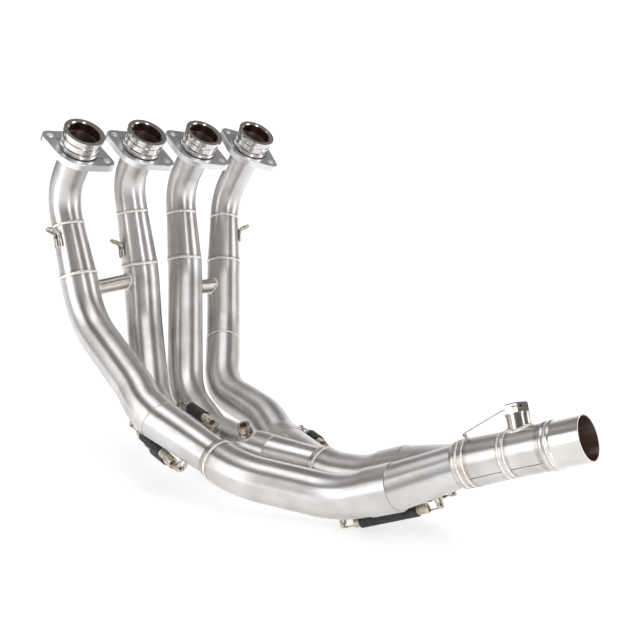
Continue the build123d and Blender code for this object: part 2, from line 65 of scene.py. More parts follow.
# Places that the CAD model gives, all in millimetres there
BEND_ENDS = [
    mm(-50.36, -0.39, -115.72),
    mm(-43.0, 88.77, -102.65),
    mm(-51.57, 171.57, -108.88),
    mm(-66.22, 255.51, -120.76),
]
CONE_ENDS = [mm(-29, -1, -177), mm(-31, 90, -170), mm(-36, 164, -170), mm(-46, 238, -181)]
CONE_DIRS = [
    Vector((0.3291, -0.0094, -0.9442)),
    Vector((0.1754, 0.018, -0.9843)),
    Vector((0.2451, -0.1191, -0.9622)),
    Vector((0.3067, -0.2657, -0.914)),
]
LEFT_EXIT, LEFT_AXIS = mm(243.7, 13.4, -356.7), Vector((0.979, 0.03, -0.202)).normalized()
RIGHT_EXIT, RIGHT_AXIS = mm(309.1, 107.9, -369.7), Vector((0.9945, 0.078, -0.07)).normalized()
OUTLET_END, OUTLET_AXIS = mm(614, 153, -275), Vector((0.904, 0.225, 0.363)).normalized()
OUTLET_RISE, OUTLET_LEVEL = Vector((-0.3523, -0.0877, 0.9318)), Vector((-0.2415, 0.9704, 0.0))
PIPE_4_JOINT, PIPE_4_DIR = mm(13.4, 190.5, -281.3), Vector((0.62, -0.499, -0.605)).normalized()
SENSOR_FOOT, SENSOR_DIR = mm(555.23, 138.37, -298.6), Vector((-0.4052, 0.1832, 0.8957))
TEST_FOOT, TEST_DIR = mm(223.34, 72.23, -360.3), Vector((0.1536, -0.4148, 0.8968))
BALANCE_12 = (mm(-22.38, -1.19, -196.0), mm(-27.2, 89.66, -188.0))
BALANCE_34 = (mm(-20.82, 153.95, -207.0), mm(-33.26, 227.52, -211.0))
BEND_R, PRIMARY_R, SECONDARY_R = 20.25 * MM, 23.25 * MM, 24 * MM
FINAL_R, OUTLET_R, PORT_BORE_R, OUTLET_BORE_R = 24.25 * MM, 22.75 * MM, 19.5 * MM, 21.9 * MM
BALANCE_R = 10 * MM

# Each spring: the two crossbars that it hooks on, and the way that each stands off its pipe
SPRINGS = [
    (mm(111.2, -14.84, -338.22), mm(195.39, -7.42, -372.58), (-0.52, -0.11, -0.85), (-0.27, -0.34, -0.9)),
    (mm(99.7, 10.39, -368.36), mm(180.21, 1.48, -378.51), (-0.26, -0.69, -0.68), (-0.14, -0.63, -0.77)),
    (mm(123.25, 48.51, -320.18), mm(212.29, 33.27, -327.33), (0.22, 0.48, 0.85), (0.12, 0.49, 0.87)),
    (mm(219.62, 65.96, -392.06), mm(280.38, 88.85, -397.12), (-0.02, -0.18, -0.98), (-0.02, -0.21, -0.98)),
    (mm(210.27, 162.95, -357.31), mm(273.68, 146.46, -362.83), (0.3, 0.94, 0.17), (0.24, 0.96, 0.17)),
    (mm(374.71, 75.91, -408.26), mm(471.95, 116.71, -369.55), (0.0, 0.28, -0.96), (0.19, 0.39, -0.9)),
    (mm(382.85, 139.48, -393.18), mm(466.74, 142.45, -364.19), (0.18, 0.56, -0.81), (0.3, 0.48, -0.82)),
]
LUG_FEET = [
    (mm(117.22, -13.6, -328.5), mm(198.47, -3.48, -362.23)),
    (mm(102.39, 17.65, -361.27), mm(181.69, 8.07, -370.47)),
    (mm(121.25, 44.2, -327.82), mm(211.2, 28.9, -335.12)),
    (mm(219.83, 67.61, -383.01), mm(280.54, 90.77, -388.12)),
    (mm(207.56, 154.5, -358.81), mm(271.52, 137.86, -364.4)),
    (mm(374.67, 72.54, -396.74), mm(469.69, 112.03, -358.73)),
    (mm(380.72, 132.77, -383.46), mm(463.14, 136.71, -354.29)),
]
HOOK_FEET = [
    (
        mm(-32.38, -21.75, -137.73),
        mm(-39.69, -23.79, -140.26),
        Vector((0.24, -0.97, 0.09)),
        Vector((-0.33, 0.01, 0.94)),
    ),
    (
        mm(-30.62, 65.46, -158.19),
        mm(-38.48, 65.97, -159.58),
        Vector((-0.06, -1.0, -0.03)),
        Vector((-0.18, -0.02, 0.98)),
    ),
    (
        mm(-44.95, 267.31, -153.06),
        mm(-39.1, 262.92, -149.82),
        Vector((0.61, 0.79, -0.03)),
        Vector((-0.31, 0.27, 0.91)),
    ),
]
LOCK_WIRE = [
    mm(500.15, 121.62, -292.14),
    mm(498.01, 119.74, -294.25),
    mm(496.06, 118.25, -290.96),
    mm(523.36, 142.18, -266.57),
    mm(544.63, 135.09, -255.5),
]


# Shader and geometry nodes

def linear(colour):
    """sRGB hex to linear RGBA."""
    values = [int(colour[i : i + 2], 16) / 255 for i in (0, 2, 4)]
    return [v / 12.92 if v <= 0.04045 else ((v + 0.055) / 1.055) ** 2.4 for v in values] + [1.0]


def node(tree, kind, inputs=None, **settings):
    """Adds a node, sets its options, and links or sets its inputs."""
    made = tree.nodes.new(kind)
    for key, value in settings.items():
        setattr(made, key, value)
    for key, value in (inputs or {}).items():
        if isinstance(value, bpy.types.NodeSocket):
            tree.links.new(value, made.inputs[key])
        else:
            made.inputs[key].default_value = value
    return made


def new_material(name):
    material = bpy.data.materials.new(name)
    material.use_nodes = True
    material.node_tree.nodes.clear()
    return material, material.node_tree


def near_welds(tree, place, welds, width):
    """1 on a weld ring, falling to 0 at a distance along the tube on both sides of it."""
    heat = None
    for centre, radius in welds:
        away = node(
            tree,
            "ShaderNodeVectorMath",
            {0: place, 1: centre},
            operation="DISTANCE",
        ).outputs["Value"]
        far = (radius**2 + width**2) ** 0.5
        near = node(
            tree,
            "ShaderNodeMapRange",
            {"Value": away, "From Min": radius, "From Max": far, "To Min": 1.0, "To Max": 0.0},
            interpolation_type="SMOOTHSTEP",
        ).outputs[0]
        if heat is None:
            heat = near
        else:
            heat = node(tree, "ShaderNodeMath", {0: heat, 1: near}, operation="MAXIMUM").outputs[0]
    return heat


def run_of(tree, place, stops):
    """Direction of a bent tube, blended between stops of (x in metres, direction)."""
    x = node(tree, "ShaderNodeSeparateXYZ", {0: place}).outputs[0]
    run = None
    for (x_a, way_a), (x_b, way_b) in zip(stops, stops[1:]):
        share = node(tree, "ShaderNodeMapRange", {"Value": x, "From Min": x_a, "From Max": x_b}).outputs[0]
        start = Vector(way_a) if run is None else run
        run = node(
            tree,
            "ShaderNodeMix",
            {0: share, 4: start, 5: Vector(way_b)},
            data_type="VECTOR",
        ).outputs[1]
    return run


# Bores are browner and darker inside, from their open end down to a depth
BORE_BROWN = "BFAA9F"


def inside(tree, place, start, axis, radius, depth):
    """1 inside a straight bore, from its open end down to a depth along its axis."""
    offset = node(tree, "ShaderNodeVectorMath", {0: place, 1: start}, operation="SUBTRACT").outputs[0]
    across = node(tree, "ShaderNodeVectorMath", {0: offset, 1: axis}, operation="CROSS_PRODUCT").outputs[0]
    away = node(tree, "ShaderNodeVectorMath", {0: across}, operation="LENGTH").outputs["Value"]
    down = node(tree, "ShaderNodeVectorMath", {0: offset, 1: axis}, operation="DOT_PRODUCT").outputs["Value"]
    near = node(tree, "ShaderNodeMath", {0: away, 1: radius}, operation="LESS_THAN").outputs[0]
    high = node(tree, "ShaderNodeMath", {0: down, 1: -depth}, operation="GREATER_THAN").outputs[0]
    return node(tree, "ShaderNodeMath", {0: near, 1: high}, operation="MULTIPLY").outputs[0]


# Sizes of what the finishes show: cloudy changes, patches of heat, brush marks, and stains
CLOUD, MOTTLE, STREAK = 38 * MM, 5 * MM, 55 * MM
TURNED_CLOUD, BEAD_PATCH, WIRE_STAIN, HOSE_BLOOM = 12 * MM, 3.5 * MM, 4 * MM, 6 * MM
GRAIN_DEPTH, BLOOM_DEPTH = 0.3 * MM, 0.4 * MM


def brushed_stainless(
    name,
    colour,
    dark,
    roughness,
    along,
    welds=(),
    tint=0.45,
    line=0.9,
    grain=0.015,
    width=5 * MM,
    stops=None,
    bore=None,
):
    """Stainless tube polished with a belt: long soft streaks, cloudy changes, straw to brown at the welds."""
    material, tree = new_material(name)
    place = node(tree, "ShaderNodeTexCoord").outputs["Object"]
    turn = Vector(along).to_track_quat("Z", "Y").to_euler()
    # scuff lines are about 0.1 mm wide and drawn `line` mm wide, so that they show
    brushed = node(
        tree,
        "ShaderNodeMapping",
        {"Vector": place, "Rotation": turn, "Scale": (line * MM, line * MM, STREAK)},
        vector_type="TEXTURE",
    ).outputs[0]
    lines = node(
        tree,
        "ShaderNodeTexNoise",
        {"Vector": brushed, "Scale": 1.0, "Detail": 3.0, "Roughness": 0.6},
    ).outputs["Fac"]
    cloud = node(
        tree,
        "ShaderNodeTexNoise",
        {"Vector": place, "Scale": 1 / CLOUD, "Detail": 3.0, "Roughness": 0.55},
    ).outputs["Fac"]
    mottle = node(
        tree,
        "ShaderNodeTexNoise",
        {"Vector": place, "Scale": 1 / MOTTLE, "Detail": 4.0, "Roughness": 0.65},
    ).outputs["Fac"]
    shade = node(tree, "ShaderNodeMapRange", {"Value": cloud, "From Min": 0.35, "From Max": 0.7}).outputs[0]
    base = node(
        tree,
        "ShaderNodeMix",
        {"Factor": shade, "A": linear(colour), "B": linear(dark)},
        data_type="RGBA",
    ).outputs[2]
    fine = node(
        tree,
        "ShaderNodeMapRange",
        {"Value": lines, "From Min": 0.3, "From Max": 0.75, "To Min": 0.0, "To Max": 0.25},
    ).outputs[0]
    base = node(
        tree,
        "ShaderNodeMix",
        {"Factor": fine, "A": base, "B": linear(dark)},
        data_type="RGBA",
    ).outputs[2]
    heat = near_welds(tree, place, welds, width)
    if heat is not None:
        patchy = node(
            tree,
            "ShaderNodeMapRange",
            {"Value": mottle, "From Min": 0.3, "From Max": 0.65, "To Min": 0.45, "To Max": 1.0},
        ).outputs[0]
        heat = node(tree, "ShaderNodeMath", {0: heat, 1: patchy}, operation="MULTIPLY").outputs[0]
        ramp = node(tree, "ShaderNodeValToRGB", {"Fac": heat})
        ramp.color_ramp.elements[0].color = linear("C8B590")
        ramp.color_ramp.elements[1].color = linear("6E5F60")
        middle = ramp.color_ramp.elements.new(0.55)
        middle.color = linear("A07D5C")
        strength = node(tree, "ShaderNodeMath", {0: heat, 1: tint}, operation="MULTIPLY").outputs[0]
        base = node(
            tree,
            "ShaderNodeMix",
            {"Factor": strength, "A": base, "B": ramp.outputs["Color"]},
            data_type="RGBA",
        ).outputs[2]
    if bore:
        base = node(
            tree,
            "ShaderNodeMix",
            {"Factor": inside(tree, place, *bore), "A": base, "B": linear(BORE_BROWN)},
            data_type="RGBA",
        ).outputs[2]
    rough = node(
        tree,
        "ShaderNodeMapRange",
        {
            "Value": lines,
            "From Min": 0.25,
            "From Max": 0.75,
            "To Min": roughness - 0.03,
            "To Max": roughness + 0.05,
        },
    ).outputs[0]
    bump = node(
        tree,
        "ShaderNodeBump",
        {"Height": lines, "Strength": grain, "Distance": GRAIN_DEPTH},
    ).outputs[0]
    # the polish stretches each highlight along the tube
    if stops:
        run = run_of(tree, place, stops)
    else:
        run = node(tree, "ShaderNodeVectorMath", {0: Vector(along)}, operation="NORMALIZE").outputs[0]
    looks = {"Base Color": base, "Roughness": rough, "Normal": bump, "Metallic": 1.0, "Anisotropic": 0.8}
    shader = node(tree, "ShaderNodeBsdfPrincipled", {**looks, "Tangent": run})
    node(tree, "ShaderNodeOutputMaterial", {"Surface": shader.outputs[0]})
    return material


def turned_stainless(name, colour, dark, roughness, axis, pitch=0.7, depth=0.04, bore=None):
    """Stainless off the lathe: fine rings round its axis, coarser than the real feed so that they show."""
    material, tree = new_material(name)
    place = node(tree, "ShaderNodeTexCoord").outputs["Object"]
    height = node(tree, "ShaderNodeVectorMath", {0: place, 1: axis}, operation="DOT_PRODUCT").outputs["Value"]
    rings = node(
        tree,
        "ShaderNodeTexNoise",
        {"W": height, "Scale": 1 / (pitch * MM), "Detail": 2.0},
        noise_dimensions="1D",
    ).outputs["Fac"]
    cloud = node(
        tree,
        "ShaderNodeTexNoise",
        {"Vector": place, "Scale": 1 / TURNED_CLOUD, "Detail": 3.0},
    ).outputs["Fac"]
    base = node(
        tree,
        "ShaderNodeMix",
        {"Factor": cloud, "A": linear(colour), "B": linear(dark)},
        data_type="RGBA",
    ).outputs[2]
    if bore:
        base = node(
            tree,
            "ShaderNodeMix",
            {"Factor": inside(tree, place, *bore), "A": base, "B": linear(BORE_BROWN)},
            data_type="RGBA",
        ).outputs[2]
    rough = node(
        tree,
        "ShaderNodeMapRange",
        {
            "Value": rings,
            "From Min": 0.3,
            "From Max": 0.7,
            "To Min": roughness - 0.03,
            "To Max": roughness + 0.06,
        },
    ).outputs[0]
    bump = node(
        tree,
        "ShaderNodeBump",
        {"Height": rings, "Strength": depth, "Distance": GRAIN_DEPTH},
    ).outputs[0]
    shader = node(
        tree,
        "ShaderNodeBsdfPrincipled",
        {"Base Color": base, "Roughness": rough, "Normal": bump, "Metallic": 1.0},
    )
    node(tree, "ShaderNodeOutputMaterial", {"Surface": shader.outputs[0]})
    return material


def weld_metal(name):
    """Weld bead of stainless filler: bright, with faint straw patches left by the heat."""
    material, tree = new_material(name)
    place = node(tree, "ShaderNodeTexCoord").outputs["Object"]
    patch = node(
        tree,
        "ShaderNodeTexNoise",
        {"Vector": place, "Scale": 1 / BEAD_PATCH, "Detail": 3.0, "Roughness": 0.6},
    ).outputs["Fac"]
    ramp = node(tree, "ShaderNodeValToRGB", {"Fac": patch})
    ramp.color_ramp.elements[0].position = 0.3
    ramp.color_ramp.elements[0].color = linear("D9D1C7")
    ramp.color_ramp.elements[1].position = 0.7
    ramp.color_ramp.elements[1].color = linear("FDFCFB")
    middle = ramp.color_ramp.elements.new(0.46)
    middle.color = linear("F3F1ED")
    shader = node(
        tree,
        "ShaderNodeBsdfPrincipled",
        {"Base Color": ramp.outputs["Color"], "Roughness": 0.48, "Metallic": 1.0},
    )
    node(tree, "ShaderNodeOutputMaterial", {"Surface": shader.outputs[0]})
    return material


def drawn_wire(name, colour, dark, roughness):
    """Spring wire, bent rod and dressed seams: a smooth skin, darker where heat has stained it."""
    material, tree = new_material(name)
    place = node(tree, "ShaderNodeTexCoord").outputs["Object"]
    stain = node(
        tree,
        "ShaderNodeTexNoise",
        {"Vector": place, "Scale": 1 / WIRE_STAIN, "Detail": 4.0, "Roughness": 0.6},
    ).outputs["Fac"]
    mask = node(tree, "ShaderNodeMapRange", {"Value": stain, "From Min": 0.38, "From Max": 0.66}).outputs[0]
    base = node(
        tree,
        "ShaderNodeMix",
        {"Factor": mask, "A": linear(colour), "B": linear(dark)},
        data_type="RGBA",
    ).outputs[2]
    rough = node(
        tree,
        "ShaderNodeMapRange",
        {"Value": stain, "To Min": roughness - 0.05, "To Max": roughness + 0.12},
    ).outputs[0]
    shader = node(tree, "ShaderNodeBsdfPrincipled", {"Base Color": base, "Roughness": rough, "Metallic": 1.0})
    node(tree, "ShaderNodeOutputMaterial", {"Surface": shader.outputs[0]})
    return material


def silicone_hose(name):
    """Extruded silicone rubber: matt black with a dusty bloom, whose noise also gives a shallow bump."""
    material, tree = new_material(name)
    place = node(tree, "ShaderNodeTexCoord").outputs["Object"]
    bloom = node(
        tree,
        "ShaderNodeTexNoise",
        {"Vector": place, "Scale": 1 / HOSE_BLOOM, "Detail": 5.0, "Roughness": 0.7},
    ).outputs["Fac"]
    mask = node(tree, "ShaderNodeMapRange", {"Value": bloom, "From Min": 0.4, "From Max": 0.75}).outputs[0]
    base = node(
        tree,
        "ShaderNodeMix",
        {"Factor": mask, "A": linear("232325"), "B": linear("4A4A4D")},
        data_type="RGBA",
    ).outputs[2]
    rough = node(tree, "ShaderNodeMapRange", {"Value": bloom, "To Min": 0.42, "To Max": 0.6}).outputs[0]
    bump = node(
        tree,
        "ShaderNodeBump",
        {"Height": bloom, "Strength": 0.15, "Distance": BLOOM_DEPTH},
    ).outputs[0]
    shader = node(
        tree,
        "ShaderNodeBsdfPrincipled",
        {"Base Color": base, "Roughness": rough, "Normal": bump, "IOR": 1.43},
    )
    node(tree, "ShaderNodeOutputMaterial", {"Surface": shader.outputs[0]})
    return material


# Finishes
PORT_LEAN = radians(50.3)
PORT_AXIS = Vector((cos(PORT_LEAN), 0, sin(PORT_LEAN)))
CYLINDER_PITCH, BORE_SEEN = 88, 45 * MM
bend_welds = [[(BEND_ENDS[i], BEND_R)] for i in PIPES]
cone_welds = [[(BEND_ENDS[i], BEND_R), (CONE_ENDS[i], PRIMARY_R)] for i in PIPES]
port_bores = [(mm(0, CYLINDER_PITCH * i, 0), PORT_AXIS, PORT_BORE_R, BORE_SEEN) for i in PIPES]
TUBE = ("E0DFDE", "C3C0BE")
TUBE_ROUGHNESS, CONE_ROUGHNESS = 0.36, 0.34
upper_finish = [
    brushed_stainless(
        f"brushed_stainless_bend_{i + 1}",
        *TUBE,
        TUBE_ROUGHNESS,
        (0.5, 0, -1),
        bend_welds[i],
        stops=[(BEND_ENDS[i].x - 0.004, CONE_DIRS[i]), (BEND_ENDS[i].x + 0.045, -PORT_AXIS)],
        bore=port_bores[i],
    )
    for i in PIPES
]
cone_finish = [
    brushed_stainless(f"brushed_stainless_cone_{i + 1}", *TUBE, CONE_ROUGHNESS, CONE_DIRS[i], cone_welds[i])
    for i in PIPES
]
balance_feet = [*BALANCE_12, *BALANCE_34]
SADDLE_HEAT, FOOT_HEAT = 16 * MM, 21 * MM
lower_welds = [[(CONE_ENDS[i], PRIMARY_R), (balance_feet[i], SADDLE_HEAT)] for i in PIPES]
lower_welds[3].append((PIPE_4_JOINT, PRIMARY_R))
lower_along = [(0.8, -0.05, -0.6), (0.55, -0.25, -0.8), (0.5, -0.35, -0.8), (0.5, -0.4, -0.75)]
# Where each lower primary turns: x in metres and its direction there
lower_stops = [
    [
        (-0.02, CONE_DIRS[0]),
        (0.02, (0.88, -0.05, -0.47)),
        (0.1, (0.88, -0.05, -0.47)),
        (0.14, (0.89, 0.1, -0.44)),
    ],
    [
        (-0.02, (0.3, -0.16, -0.94)),
        (0.0, (0.54, -0.29, -0.79)),
        (0.06, (0.54, -0.29, -0.79)),
        (0.1, (0.96, -0.06, -0.3)),
    ],
    [
        (-0.03, (0.47, -0.35, -0.81)),
        (0.03, (0.47, -0.35, -0.81)),
        (0.08, (0.94, -0.2, -0.3)),
        (0.2, (0.97, 0.1, -0.03)),
    ],
    [
        (-0.04, (0.45, -0.35, -0.82)),
        (0.04, (0.62, -0.5, -0.6)),
        (0.09, (0.99, -0.05, -0.15)),
        (0.2, (0.94, -0.27, -0.2)),
    ],
]
lower_finish = [
    brushed_stainless(
        f"brushed_stainless_primary_{i + 1}",
        *TUBE,
        TUBE_ROUGHNESS,
        lower_along[i],
        lower_welds[i],
        stops=lower_stops[i],
    )
    for i in PIPES
]
left_stops = [
    (0.17, (0.95, 0.03, -0.3)),
    (0.28, (0.9, 0.35, -0.2)),
    (0.36, (0.87, 0.48, -0.12)),
    (0.42, (0.9, 0.22, 0.36)),
]
PAIR_HEAT = {"tint": 0.5, "width": 8 * MM}
left_finish = brushed_stainless(
    "brushed_stainless_left_pair",
    *TUBE,
    TUBE_ROUGHNESS,
    (0.9, 0.3, -0.1),
    [(LEFT_EXIT, SECONDARY_R)],
    stops=left_stops,
    **PAIR_HEAT,
)
right_finish = brushed_stainless(
    "brushed_stainless_right_pair",
    *TUBE,
    TUBE_ROUGHNESS,
    (0.95, 0.2, 0.1),
    [(RIGHT_EXIT, SECONDARY_R)],
    **PAIR_HEAT,
)


def outlet_at(station):
    """Point on the outlet's axis at a distance from its end, in millimetres."""
    return OUTLET_END - OUTLET_AXIS * (station * MM)


stations = [(127, FINAL_R), (120, FINAL_R), (82, OUTLET_R), (76, OUTLET_R), (41, OUTLET_R), (33, OUTLET_R)]
outlet_welds = [(outlet_at(station), radius) for station, radius in stations]
outlet_welds.append((SENSOR_FOOT + SENSOR_DIR * (23 * MM), 11.5 * MM))
outlet_bore = (OUTLET_END, OUTLET_AXIS, OUTLET_BORE_R)
outlet_finish = brushed_stainless(
    "brushed_stainless_outlet",
    *TUBE,
    TUBE_ROUGHNESS,
    OUTLET_AXIS,
    outlet_welds,
    tint=0.5,
    bore=(*outlet_bore, 80 * MM),
)
sleeve_finish = brushed_stainless(
    "brushed_stainless_end_sleeve",
    "E8E6E2",
    "D2CFCA",
    0.28,
    OUTLET_AXIS,
    bore=(*outlet_bore, 200 * MM),
)
small_finish = brushed_stainless(
    "heat_stained_stainless_balance_tube",
    "D6D0C8",
    "B5ADA3",
    0.3,
    (0, 1, 0),
    [(foot, FOOT_HEAT) for foot in balance_feet],
    tint=0.7,
    width=12 * MM,
)
flange_finish = brushed_stainless(
    "satin_machined_flange",
    "F4F4F5",
    "E6E6E8",
    0.33,
    (1, 0, 0),
    line=0.6,
    grain=0.02,
)
collar_finish = [
    turned_stainless(
        f"turned_stainless_collar_{i + 1}",
        "EAE9E8",
        "CFCCCA",
        0.12,
        PORT_AXIS,
        bore=port_bores[i],
    )
    for i in PIPES
]
boss_finish = turned_stainless("turned_stainless_sensor_boss", "D2CCC4", "988E84", 0.2, SENSOR_DIR)
plug_finish = turned_stainless("turned_stainless_plug", "D4D0CA", "A69D93", 0.24, SENSOR_DIR)
test_finish = turned_stainless("turned_stainless_test_plug", "CFC6BB", "8C8075", 0.18, TEST_DIR)
rod_finish = drawn_wire("bent_stainless_rod", "D3CCC3", "8A8178", 0.24)
spring_finish = drawn_wire("spring_wire", "E4DACB", "A69B8D", 0.28)
lock_finish = drawn_wire("lock_wire", "D9D7D2", "A9A49C", 0.2)
bead_finish = weld_metal("tig_weld_bead")
seam_finish = drawn_wire("dressed_seam_weld", "8E857D", "6B625C", 0.4)
rubber_finish = silicone_hose("silicone_rubber_hose")

by_name = {
    "balance_tube_12": small_finish,
    "balance_tube_34": small_finish,
    "collector_left": left_finish,
    "secondary_left": left_finish,
    "collector_right": right_finish,
    "secondary_right": right_finish,
    "final_collector": outlet_finish,
    "outlet_cone": outlet_finish,
    "outlet_tube": outlet_finish,
    "outlet_sleeve": sleeve_finish,
    "sensor_boss": boss_finish,
    "sensor_plug": plug_finish,
    "test_boss": test_finish,
    "test_plug": test_finish,
    "wire_tab": rod_finish,
    "lock_wire": lock_finish,
}
for i in PIPES:
    by_name[f"upper_bend_{i + 1}"] = upper_finish[i]
    by_name[f"cone_{i + 1}"] = cone_finish[i]
    by_name[f"lower_pipe_{i + 1}"] = lower_finish[i]
    by_name[f"flange_{i + 1}"] = flange_finish
    by_name[f"collar_{i + 1}"] = collar_finish[i]
    by_name[f"hook_{i + 1}"] = rod_finish
for i in range(len(SPRINGS)):
    by_name[f"lugs_{i + 1}"] = rod_finish
    by_name[f"spring_{i + 1}"] = spring_finish
    by_name[f"spring_sleeve_{i + 1}"] = rubber_finish
for name, piece in nodes.items():
    piece.data.materials.clear()
    piece.data.materials.append(by_name[name])


# Geometry node trees

def tree_with_inputs(name, sizes):
    """An empty geometry tree with a geometry in and out and one named input for each size."""
    tree = bpy.data.node_groups.new(name, "GeometryNodeTree")
    tree.interface.new_socket(name="Geometry", in_out="INPUT", socket_type="NodeSocketGeometry")
    for size in sizes:
        tree.interface.new_socket(name=size, in_out="INPUT", socket_type="NodeSocketFloat")
    tree.interface.new_socket(name="Material", in_out="INPUT", socket_type="NodeSocketMaterial")
    tree.interface.new_socket(name="Geometry", in_out="OUTPUT", socket_type="NodeSocketGeometry")
    return tree, tree.nodes.new("NodeGroupInput").outputs


def close_tree(tree, geometry, material):
    """Ends a tree in real, smooth faces with their material."""
    real = node(tree, "GeometryNodeRealizeInstances", {"Geometry": geometry}).outputs[0]
    smooth = node(tree, "GeometryNodeSetShadeSmooth", {"Geometry": real}).outputs[0]
    painted = node(tree, "GeometryNodeSetMaterial", {"Geometry": smooth, "Material": material}).outputs[0]
    node(tree, "NodeGroupOutput", {0: painted})


def run_tree(tree, source, values):
    """Runs a tree on an object's geometry and returns the result as a plain mesh."""
    modifier = source.modifiers.new(tree.name, "NODES")
    modifier.node_group = tree
    for item in tree.interface.items_tree:
        if item.in_out == "INPUT" and item.name in values:
            modifier[item.identifier] = values[item.name]
    bpy.context.view_layer.update()
    graph = bpy.context.evaluated_depsgraph_get()
    mesh = bpy.data.meshes.new_from_object(source.evaluated_get(graph))
    bpy.data.objects.remove(source)
    return mesh


def weld_tree():
    """Overlapping ripples, one on each point, long axis across the bead."""
    tree, given = tree_with_inputs("weld_bead", ["Ripple length", "Bead width", "Bead height"])
    ball = node(tree, "GeometryNodeMeshUVSphere", {"Segments": 8, "Rings": 5, "Radius": 1.0}).outputs["Mesh"]
    scale = node(
        tree,
        "ShaderNodeCombineXYZ",
        {"X": given["Ripple length"], "Y": given["Bead width"], "Z": given["Bead height"]},
    ).outputs[0]
    ripple = node(tree, "GeometryNodeTransform", {"Geometry": ball, "Scale": scale}).outputs[0]
    run = node(tree, "GeometryNodeInputNamedAttribute", {"Name": "run"}, data_type="FLOAT_VECTOR").outputs[0]
    out = node(tree, "GeometryNodeInputNamedAttribute", {"Name": "out"}, data_type="FLOAT_VECTOR").outputs[0]
    turn = node(
        tree,
        "FunctionNodeAxesToRotation",
        {"Primary Axis": out, "Secondary Axis": run},
        primary_axis="Z",
        secondary_axis="X",
    ).outputs[0]
    points = node(tree, "GeometryNodeMeshToPoints", {"Mesh": given["Geometry"]}).outputs[0]
    size = node(
        tree,
        "FunctionNodeRandomValue",
        {"Min": (0.92, 0.9, 0.88), "Max": (1.08, 1.08, 1.1), "Seed": 7},
        data_type="FLOAT_VECTOR",
    ).outputs[0]
    beads = node(
        tree,
        "GeometryNodeInstanceOnPoints",
        {"Points": points, "Instance": ripple, "Rotation": turn, "Scale": size},
    ).outputs[0]
    close_tree(tree, beads, given["Material"])
    return tree


def spring_tree():
    """A close-wound coil along Z from the origin."""
    tree, given = tree_with_inputs("wound_coil", ["Length", "Turns", "Coil radius", "Wire radius"])
    path = node(
        tree,
        "GeometryNodeCurveSpiral",
        {
            "Resolution": 20,
            "Rotations": given["Turns"],
            "Start Radius": given["Coil radius"],
            "End Radius": given["Coil radius"],
            "Height": given["Length"],
        },
    ).outputs[0]
    wire = node(
        tree,
        "GeometryNodeCurvePrimitiveCircle",
        {"Resolution": 8, "Radius": given["Wire radius"]},
    ).outputs[0]
    coil = node(
        tree,
        "GeometryNodeCurveToMesh",
        {"Curve": path, "Profile Curve": wire, "Fill Caps": True},
    ).outputs[0]
    close_tree(tree, coil, given["Material"])
    return tree


def bent_wire_tree():
    """A round wire along a line of points, bent round at each corner."""
    tree, given = tree_with_inputs("bent_wire", ["Bend radius", "Wire radius"])
    bent = node(
        tree,
        "GeometryNodeFilletCurve",
        {"Curve": given["Geometry"], "Count": 8, "Radius": given["Bend radius"], "Limit Radius": True},
        mode="POLY",
    ).outputs[0]
    wire = node(
        tree,
        "GeometryNodeCurvePrimitiveCircle",
        {"Resolution": 10, "Radius": given["Wire radius"]},
    ).outputs[0]
    body = node(
        tree,
        "GeometryNodeCurveToMesh",
        {"Curve": bent, "Profile Curve": wire, "Fill Caps": True},
    ).outputs[0]
    close_tree(tree, body, given["Material"])
    return tree


def twisted_wire_tree():
    """Two strands twisted round a line of points."""
    tree, given = tree_with_inputs("twisted_wire", ["Lay", "Strand radius"])
    bent = node(
        tree,
        "GeometryNodeFilletCurve",
        {"Curve": given["Geometry"], "Count": 8, "Radius": 1.6 * MM, "Limit Radius": True},
        mode="POLY",
    ).outputs[0]
    fine = node(
        tree,
        "GeometryNodeResampleCurve",
        {"Curve": bent, "Length": 0.25 * MM},
        mode="LENGTH",
    ).outputs[0]
    length = node(tree, "GeometryNodeSplineParameter").outputs["Length"]
    normal = node(tree, "GeometryNodeInputNormal").outputs[0]
    tangent = node(tree, "GeometryNodeInputTangent").outputs[0]
    side = node(tree, "ShaderNodeVectorMath", {0: tangent, 1: normal}, operation="CROSS_PRODUCT").outputs[0]
    turns = node(tree, "ShaderNodeMath", {0: length, 1: given["Lay"]}, operation="DIVIDE").outputs[0]
    wire = node(
        tree,
        "GeometryNodeCurvePrimitiveCircle",
        {"Resolution": 7, "Radius": given["Strand radius"]},
    ).outputs[0]
    both = tree.nodes.new("GeometryNodeJoinGeometry")
    for start in (0.0, 0.5):
        angle = node(tree, "ShaderNodeMath", {0: turns, 1: start}, operation="ADD").outputs[0]
        angle = node(tree, "ShaderNodeMath", {0: angle, 1: 2 * pi}, operation="MULTIPLY").outputs[0]
        across = node(tree, "ShaderNodeMath", {0: angle}, operation="COSINE").outputs[0]
        up = node(tree, "ShaderNodeMath", {0: angle}, operation="SINE").outputs[0]
        a = node(tree, "ShaderNodeVectorMath", {0: normal, "Scale": across}, operation="SCALE").outputs[0]
        b = node(tree, "ShaderNodeVectorMath", {0: side, "Scale": up}, operation="SCALE").outputs[0]
        reach = node(tree, "ShaderNodeVectorMath", {0: a, 1: b}, operation="ADD").outputs[0]
        reach = node(
            tree,
            "ShaderNodeVectorMath",
            {0: reach, "Scale": given["Strand radius"]},
            operation="SCALE",
        ).outputs[0]
        moved = node(tree, "GeometryNodeSetPosition", {"Geometry": fine, "Offset": reach}).outputs[0]
        strand = node(
            tree,
            "GeometryNodeCurveToMesh",
            {"Curve": moved, "Profile Curve": wire, "Fill Caps": True},
        ).outputs[0]
        tree.links.new(strand, both.inputs[0])
    close_tree(tree, both.outputs[0], given["Material"])
    return tree


weld_beads = weld_tree()
wound_coil = spring_tree()
bent_wire = bent_wire_tree()
twisted_wire = twisted_wire_tree()


